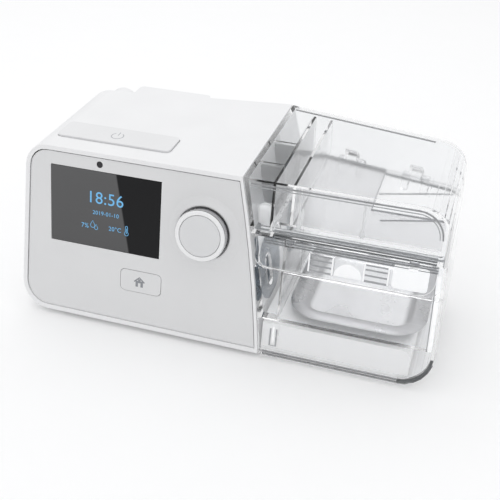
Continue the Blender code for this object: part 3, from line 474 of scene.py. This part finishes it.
def words(name, body_text, x, v, size, mat):
    """Thin figures on the display, laid in the panel's plane."""
    curve = bpy.data.curves.new(name, "FONT")
    curve.body = body_text
    curve.size = size * MM
    curve.extrude = 0.015 * MM
    curve.align_x = "CENTER"
    curve.align_y = "CENTER"
    curve.space_character = 1.05
    holder = bpy.data.objects.new(name, curve)
    bpy.context.scene.collection.objects.link(holder)
    graph = bpy.context.evaluated_depsgraph_get()
    mesh = bpy.data.meshes.new_from_object(holder.evaluated_get(graph))
    bpy.data.objects.remove(holder, do_unlink=True)
    return new_piece(name, mesh, in_panel(x, v, SCREEN_FACE), mat, "unit")


def make_display():
    """Clock, date, humidity with two drops, and temperature with a thermometer."""
    words("clock_figures", "18:56", -75.0, 80.3, 10.6, BLUE)
    words("date_figures", "2019-01-10", -74.6, 71.0, 3.6, BLUE)
    words("humidity_figures", "7%", -88.4, 61.6, 4.2, BLUE)
    words("temperature_figures", "20°C", -68.3, 62.2, 3.9, BLUE)
    drops = []
    for x, v, size in ((-83.2, 62.6, 1.5), (-80.9, 61.2, 1.1)):
        drops.append((arc(x, v, size, -220.0, 40.0, 16) + [(x, v + 2.1 * size)], 0.32, True))
    bulb = (arc(-60.6, 61.0, 1.25, 125.0, 415.0, 16) + arc(-60.6, 65.2, 0.7, 0.0, 180.0, 8), 0.32, True)
    stem = ([(-60.6, 61.0), (-60.6, 64.4)], 0.4, False)
    marks = line_mesh("display_icons", drops + [bulb, stem], 0.02)
    new_piece("display_icons", marks, in_panel(0, 0, SCREEN_FACE), BLUE, "unit")


def make_icons():
    """Printed house on the home button and power sign on the power button."""
    roof = ([(-3.1, 0.2), (-1.5, 1.6), (0.0, 3.0), (1.5, 1.6), (3.1, 0.2)], 0.8, False)
    gable = ([(0.0, -0.3), (0.0, 2.1)], 1.5, False)
    body = [([(x, -2.7), (x, 0.9)], 1.5, False) for x in (-1.5, 1.5)]
    mesh = line_mesh("home_mark", [roof, gable] + body, 0.03)
    at = in_panel(-51.0, 30.6, -0.5) @ Matrix.Scale(1.1, 4)
    new_piece("home_mark", mesh, at, ICON, "home")
    ring = (arc(0, 0, 2.9, 125.0, 415.0, 28), 0.42, False)
    bar = ([(0, 0.6), (0, 3.7)], 0.42, False)
    mesh = line_mesh("power_mark", [ring, bar], 0.03)
    at = TOP @ Matrix.Translation(Vector((-77.8, 46.6, BUTTON_TOP)) * MM) @ Matrix.Scale(1.3, 4)
    new_piece("power_mark", mesh, at, ICON_PALE, "power")


# ---------------------------------------------------------------- tank and lid details

def rounded_loop(x0, y0, x1, y1, radius, count=8):
    """Points of a rounded rectangle, anticlockwise."""
    points = []
    for cx, cy, start in ((x1 - radius, y0 + radius, -90), (x1 - radius, y1 - radius, 0),
                          (x0 + radius, y1 - radius, 90), (x0 + radius, y0 + radius, 180)):
        points += arc(cx, cy, radius, start, start + 90.0, count)
    return points


def loft(name, rings, matrix, mat, body, cap=True):
    """Closed skin through rings of equal point counts, each a list of (x, y, z) in millimetres."""
    shape = bmesh.new()
    rows = [[shape.verts.new(Vector(p) * MM) for p in row] for row in rings]
    count = len(rows[0])
    for low, high in zip(rows, rows[1:]):
        for i in range(count):
            j = (i + 1) % count
            shape.faces.new((low[i], low[j], high[j], high[i]))
    if cap:
        shape.faces.new(rows[-1])
        shape.faces.new(list(reversed(rows[0])))
    bmesh.ops.recalc_face_normals(shape, faces=shape.faces)
    for face in shape.faces:
        face.smooth = len(face.verts) == 4
    mesh = bpy.data.meshes.new(name)
    shape.to_mesh(mesh)
    shape.free()
    mesh.set_sharp_from_angle(angle=math.radians(50.0))
    return new_piece(name, mesh, matrix, mat, body)


def make_pan():
    """Stamped steel pan: wide flange, rolled edge, sloping walls and a flat floor."""
    x0, y0, x1, y1 = PAN

    def row(margin, height):
        flat = rounded_loop(x0 - margin, y0 - margin, x1 + margin, y1 + margin, max(3.0, 9.0 + margin))
        return [(x, y, height) for x, y in flat]

    top = [row(margin, height) for margin, height in PAN_SECTION]
    under = [row(margin + 0.35 * SHEET if margin < 4 else margin - 0.05, height - SHEET)
             for margin, height in reversed(PAN_SECTION[3:])]
    rings = under + top[1:]
    pan = loft("steel_pan", rings, TOP, STEEL_PAN, "tank")
    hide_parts("heat_pan")


def bar(name, points, width, height, matrix, mat, body, slot, soft=0.2):
    """Straight-sided bar along points in the local XY plane, raised along local Z."""
    item = new_piece(name, line_mesh(name, [(points, width, False)], height), matrix, mat, body)
    soften(item, soft)
    return item


def make_seam():
    """Ribbed seal: dark and clear rails along the front of the lid's lower edge."""
    behind_front = 2.35
    height = 0.6
    rails = ((78.0, 1.6, SEAM), (79.0, 1.0, RAIL), (80.0, 1.0, SEAM), (81.1, 0.8, RAIL))
    for index, (z, depth, mat) in enumerate(rails):
        y = front_y(z) + behind_front + depth / 2
        path = [(31.0, y), (60.0, y), (90.0, y), (124.0, y)]
        bar(f"lid_rail_{index}", path, depth, height, at_height(z), mat, "lid", "silicone")


def make_ribs():
    """Two upright ribs with round feet inside the lid's front wall."""
    behind_front = 2.5
    top = 106.4
    for index, (x, low) in enumerate(((44.6, 82.6), (81.0, 84.2))):
        rings = []
        profile = ((low, 0.5), (low + 0.4, 1.3), (low + 2.2, 1.5), (low + 3.8, 1.2), (low + 4.6, 0.75),
                   (low + 10.0, 0.65), (top, 0.6))
        for z, half in profile:
            y = front_y(z) + behind_front + half
            circle = arc(x, y, half, 0.0, 360.0, 12)[:-1]
            rings.append([(px, py, z) for px, py in circle])
        loft(f"lid_rib_{index}", rings, TOP, MILKY, "lid")


def make_baffle_edge():
    """Turned-up lip along the inner edge of the L-shaped splash plate, and two slanted drip ribs."""
    outline = [(124.0, 57.0), (80.0, 57.0), (80.0, 106.6), (30.4, 116.0)]
    lip = line_mesh("baffle_lip", [(outline, 0.9, False)], 1.1)
    item = new_piece("baffle_lip", lip, at_height(BAFFLE_TOP), LIP, "lid")
    soften(item, 0.2)
    drips = [([(81.0, 74.8), (123.0, 89.1)], 0.6, False), ([(86.9, 46.6), (116.2, 56.0)], 0.6, False)]
    ribs = line_mesh("baffle_drip_ribs", drips, 0.8)
    new_piece("baffle_drip_ribs", ribs, at_height(BAFFLE_TOP), LIP, "lid")


def make_duct_liner():
    """Frosted partitions of the air passage in the lid's left part, tinted grey as painted shade where the
    shaded side wall shows through.
    """
    thick = 0.7
    top = 106.0
    low = 82.5
    side_low = 83.5
    side_x = 27.6
    # Their grey tint is painted shade for the shaded side wall seen through the lid.
    for index, y in enumerate((45.3, 74.0)):
        panel = line_mesh(f"duct_partition_{index}", [([(14.5, y), (27.9, y)], thick, False)], top - low)
        new_piece(f"duct_partition_{index}", panel, at_height(low), CLEAR_PAINTED_SHADE, "lid")
    path = [(side_x, 28.5), (side_x, 116.5)]
    wall = line_mesh("duct_partition_side", [(path, thick, False)], top - side_low)
    new_piece("duct_partition_side", wall, at_height(side_low), CLEAR_PAINTED_SHADE, "lid")


def make_duct_sleeve():
    """Milky rounded sleeve at the front of the lid's air passage."""
    x0, y0, x1, y1 = 18.8, 25.4, 26.8, 33.0
    profile = ((79.2, 0.5), (80.2, 0.0), (88.0, 0.0), (89.6, 0.5), (90.6, 1.5))
    rings = []
    for z, inset in profile:
        outline = rounded_loop(x0 + inset, y0 + inset, x1 - inset, y1 - inset, 2.4, 5)
        rings.append([(x, y, z) for x, y in outline])
    loft("duct_sleeve", rings, TOP, MILKY, "lid")


def panel_lines(name, lines, depth, thickness, mat, body):
    """Lines lying in the front slope, that far behind its face."""
    at = in_panel(0, 0, -(depth + thickness))
    return new_piece(name, line_mesh(name, lines, thickness), at, mat, body)


def make_tank_edges():
    """Thicker mouldings along the tank's lower front edge and lower right corner, as dark strips, with a
    painted highlight up the right front edge and a painted shadow line beside it.
    """
    low = on_panel(4.7)
    radius = 18.0
    turn_x = 112.3
    thick = 0.9
    corner = arc(turn_x, low + radius, radius, -90.0, -4.0, 14)
    bottom = [(30.4, low), (60.0, low), (90.0, low), (112.0, low)]
    panel_lines("tank_bottom_strip", [(bottom, 0.9, False)], WALL_BACK, thick, BEAD, "tank")
    panel_lines("tank_corner_strip", [(corner, 1.7, False)], WALL_BACK, thick, STRIP, "tank")
    # Painted highlight: a glowing white strip up the tank's right front edge.
    upright = [(128.0, on_panel(26.0)), (127.3, on_panel(50.0)), (126.4, on_panel(71.0))]
    panel_lines("tank_corner_painted_highlight", [(upright, 2.4, False)], 2.75, 0.6, PAINTED_GLOW_WHITE, "tank")
    # Painted shadow: a thin grey line beside the painted highlight.
    beside = [(x - 1.7, v) for x, v in upright]
    panel_lines("tank_corner_shadow", [(beside, 0.6, False)], 2.9, 0.4, LIP, "tank")


def make_lid_beads():
    """Double bead under the lid's front top edge, turning down round its right corner."""
    high = on_panel(105.6)
    right = 125.0
    turn = 14.6
    beads = (("lid_top_bead", 0.0, 0.9, BEAD), ("lid_top_bead_lower", 1.7, 0.5, LIP))
    for name, drop, width, mat in beads:
        curve = arc(right - turn, high - turn, turn - drop, 90.0, 0.0, 12)
        line = [(15.0, high - drop), (45.0, high - drop), (80.0, high - drop)] + curve
        panel_lines(name, [(line, width, False)], 2.4, 0.6, mat, "lid")


def make_rim_rails():
    """Three fine dark rails behind the flap, under the tank's rim."""
    rails = [([(25.5, v), (60.0, v), (95.0, v), (125.4, v)], width, False)
             for v, width in ((71.0, 0.55), (72.5, 0.7), (74.2, 0.8))]
    panel_lines("tank_rim_rails", rails, 3.2, 1.0, SEAM, "tank")


def make_rear_bead():
    """Thin moulded line under the lid's top along its rear edge."""
    points = [(14.0, 125.9), (50.0, 118.9), (85.0, 112.0), (108.0, 107.6)]
    panel = line_mesh("lid_rear_bead", [(points, 0.6, False)], 0.8)
    new_piece("lid_rear_bead", panel, at_height(LID_CEILING), BEAD, "lid")


def make_screen_edge():
    """Thin pale bevel along the display window's lower and right edges."""
    low, right, high, left = 48.35, -38.55, 97.0, -111.0
    edge = line_mesh("screen_edge", [([(left, low), (right, low), (right, high)], 0.35, False)], 0.03)
    new_piece("screen_edge", edge, in_panel(0, 0, -0.58), KNOB_WHITE, "unit")


def make_flap_edge():
    """Moulded edge round the latch flap's lower side, brightened by the milky white's painted glow."""
    low = 57.0
    left_turn = arc(29.6, low + 6.0, 6.0, 180.0, 270.0, 8)
    right_turn = arc(115.4, low + 9.6, 9.6, -90.0, 0.0, 10)
    line = [(23.6, 68.0)] + left_turn + right_turn + [(125.2, 72.0)]
    panel_lines("flap_edge", [(line, 0.36, False)], -0.02, 0.05, MILKY, "flap")


def port_pad(name, port_y, pad_y, pad_radius):
    """Flat ring on the unit's side wall, round outside and slotted inside, that follows the wall's curve."""
    count = 40
    slot_radius = 7.6
    slot_reach = 6.0
    rings = []
    for outer, lift in ((True, 0.06), (True, 0.34), (False, 0.34), (False, 0.06), (True, 0.06)):
        ring = []
        for i in range(count):
            angle = 2 * math.pi * i / count
            if outer:
                y = pad_y + pad_radius * math.cos(angle)
                z = PORT_Z + pad_radius * math.sin(angle)
            else:
                y = port_y + slot_radius * math.cos(angle)
                z = PORT_Z + slot_radius * math.sin(angle) + math.copysign(slot_reach, math.sin(angle))
            ring.append((split_x(z) + lift, y, z))
        rings.append(ring)
    loft(name, rings, TOP, SILICONE, "unit", cap=False)


def make_port_pads():
    """Slate pads round the two air ports: a large one at the outlet, a smaller one at the return."""
    port_pad("outlet_pad", OUTLET_PORT_Y, 36.5, 20.0)
    port_pad("return_pad", RETURN_PORT_Y, RETURN_PORT_Y, 16.0)


def make_platform_notch():
    """Small notch with an upright rib in the platform's front face, where the tank's key drops in."""
    left, right, low, high = 34.0, 37.8, 5.4, 16.6
    middle = 35.9
    outline = [(left, high), (left, low), (right, low), (right, high)]
    rib = [(middle, 7.6), (middle, 17.6)]
    panel_lines("platform_notch", [(outline, 0.9, False)], 4.5, 0.4, LIP, "unit")
    # The key rib is drawn in the glowing white, so it carries a painted glow.
    panel_lines("platform_key", [(rib, 1.1, False)], 4.2, 0.6, PAINTED_GLOW_WHITE, "unit")


def make_membranes():
    """Soft slate flaps that close the two air ports."""
    half_width = 4.4
    low = PORT_Z - 10.4
    high = PORT_Z + 10.4
    radius = 4.3
    faces_x = (20.0, 20.8)
    for name, y in (("outlet_membrane", OUTLET_PORT_Y), ("return_membrane", RETURN_PORT_Y)):
        outline = rounded_loop(y - half_width, low, y + half_width, high, radius, 6)
        rings = [[(x, a, b) for a, b in outline] for x in faces_x]
        loft(name, rings, TOP, SILICONE, "unit")


def make_catches():
    """Two ribbed catch blocks that the flap snaps over, their sides drawn in glowing white as painted
    highlights.
    """
    at = in_panel(0, 0, -2.65)
    thick = 0.35
    side_reach = 6.9
    rib_reach = 6.3
    low = 58.8
    high = 69.4
    rib_heights = (59.4, 62.8, 66.2, 69.0)
    for index, x in enumerate(CATCH_X):
        sides_x = (x - side_reach, x + side_reach)
        frame_lines = [([(side, low), (side, high)], 0.8, False) for side in sides_x]
        rib_lines = [([(x - rib_reach, v), (x + rib_reach, v)], 0.9, False) for v in rib_heights]
        # The catch sides are white bars with a painted glow, standing as painted highlights.
        sides = line_mesh(f"catch_sides_painted_highlight_{index}", frame_lines, thick)
        new_piece(f"catch_sides_painted_highlight_{index}", sides, at, PAINTED_GLOW_WHITE, "tank")
        ribs = line_mesh(f"catch_ribs_{index}", rib_lines, thick)
        new_piece(f"catch_ribs_{index}", ribs, at, LIP, "tank")


def make_flap_highlights():
    """Painted highlights behind the flap: glowing white panels, one between the catches and one to their
    right.
    """
    back = -4.1
    front = back + 0.9
    # Painted highlights: glowing white panels that stand in for the flap's bright blown-out area.
    dome = arc(76.0, 58.8, 8.0, 0.0, 180.0, 16)
    block = rounded_loop(101.0, 58.2, 121.0, 72.5, 2.0, 4)
    for name, outline in (("flap_highlight_middle", dome), ("flap_highlight_right", block)):
        rings = [[(x, v, n) for x, v in outline] for n in (back, front)]
        loft(name, rings, PANEL, PAINTED_GLOW_WHITE, "tank")


# ---------------------------------------------------------------- floor, light, camera

def make_floor():
    """Plain pale floor just under the feet."""
    shape = bmesh.new()
    bmesh.ops.create_grid(shape, x_segments=2, y_segments=2, size=6.0)
    mesh = bpy.data.meshes.new("floor")
    shape.to_mesh(mesh)
    shape.free()
    floor = bpy.data.objects.new("floor", mesh)
    bpy.context.scene.collection.objects.link(floor)
    floor.location.z = -0.0002
    pale = (0.985, 0.985, 0.986)
    mat = plastic("floor_paper", pale, rough=(0.75, 0.9), grain=900.0, bump=0.05, spread=0.002)
    mesh.materials.append(mat)


def soft_light(name, place, aim, size, power):
    """Rectangular area lamp at a place, turned to a point."""
    data = bpy.data.lights.new(name, "AREA")
    data.shape = "RECTANGLE"
    data.size, data.size_y = size
    data.energy = power
    lamp = bpy.data.objects.new(name, data)
    bpy.context.scene.collection.objects.link(lamp)
    lamp.location = place
    lamp.rotation_euler = (Vector(aim) - Vector(place)).to_track_quat("-Z", "Y").to_euler()


def make_light():
    """White studio that is brighter above, with a soft lamp over, beside and in front of the device."""
    world = bpy.data.worlds.new("studio")
    bpy.context.scene.world = world
    world.use_nodes = True
    tree = world.node_tree
    sky = tree.nodes["Background"]
    direction = tree.nodes.new("ShaderNodeTexCoord")
    split = tree.nodes.new("ShaderNodeSeparateXYZ")
    tree.links.new(direction.outputs["Generated"], split.inputs[0])
    ramp = tree.nodes.new("ShaderNodeMapRange")
    ramp.inputs["From Min"].default_value = -0.15
    ramp.inputs["From Max"].default_value = 0.75
    ramp.inputs["To Min"].default_value = 0.55
    ramp.inputs["To Max"].default_value = 0.90
    tree.links.new(split.outputs["Z"], ramp.inputs["Value"])
    tree.links.new(ramp.outputs["Result"], sky.inputs["Strength"])
    sky.inputs["Color"].default_value = (0.99, 0.993, 1.0, 1.0)
    middle = (0, 0, 0.05)
    soft_light("key", (-0.30, 0.35, 1.2), middle, (0.9, 0.9), 2.7)
    soft_light("side", (1.1, -0.2, 0.7), middle, (0.5, 0.8), 0.6)
    soft_light("front", (0.1, -0.95, 0.95), middle, (0.8, 0.5), 1.0)
    bpy.context.scene.view_settings.view_transform = "Standard"


def make_camera():
    """Camera at the azimuth, elevation, roll and distance above, looking at the target."""
    data = bpy.data.cameras.new("camera")
    data.lens = FOCAL
    data.sensor_width = 36.0
    data.clip_start = 0.01
    camera = bpy.data.objects.new("camera", data)
    bpy.context.scene.collection.objects.link(camera)
    back = Vector((math.sin(AZIMUTH) * math.cos(ELEVATION), -math.cos(AZIMUTH) * math.cos(ELEVATION),
                   math.sin(ELEVATION)))
    right = Vector((math.cos(AZIMUTH), math.sin(AZIMUTH), 0))
    up = back.cross(right)
    side = right * math.cos(ROLL) + up * math.sin(ROLL)
    rise = up * math.cos(ROLL) - right * math.sin(ROLL)
    turn = Matrix((side, rise, back)).transposed().to_4x4()
    camera.matrix_world = Matrix.Translation(TARGET + back * DISTANCE) @ turn
    bpy.context.scene.camera = camera


make_camera()
dress_cad()
make_display()
make_icons()
make_pan()
make_seam()
make_ribs()
make_baffle_edge()
make_duct_liner()
make_duct_sleeve()
make_tank_edges()
make_lid_beads()
make_rim_rails()
make_rear_bead()
make_screen_edge()
make_flap_edge()
make_port_pads()
make_platform_notch()
make_membranes()
make_catches()
make_flap_highlights()
make_floor()
make_light()
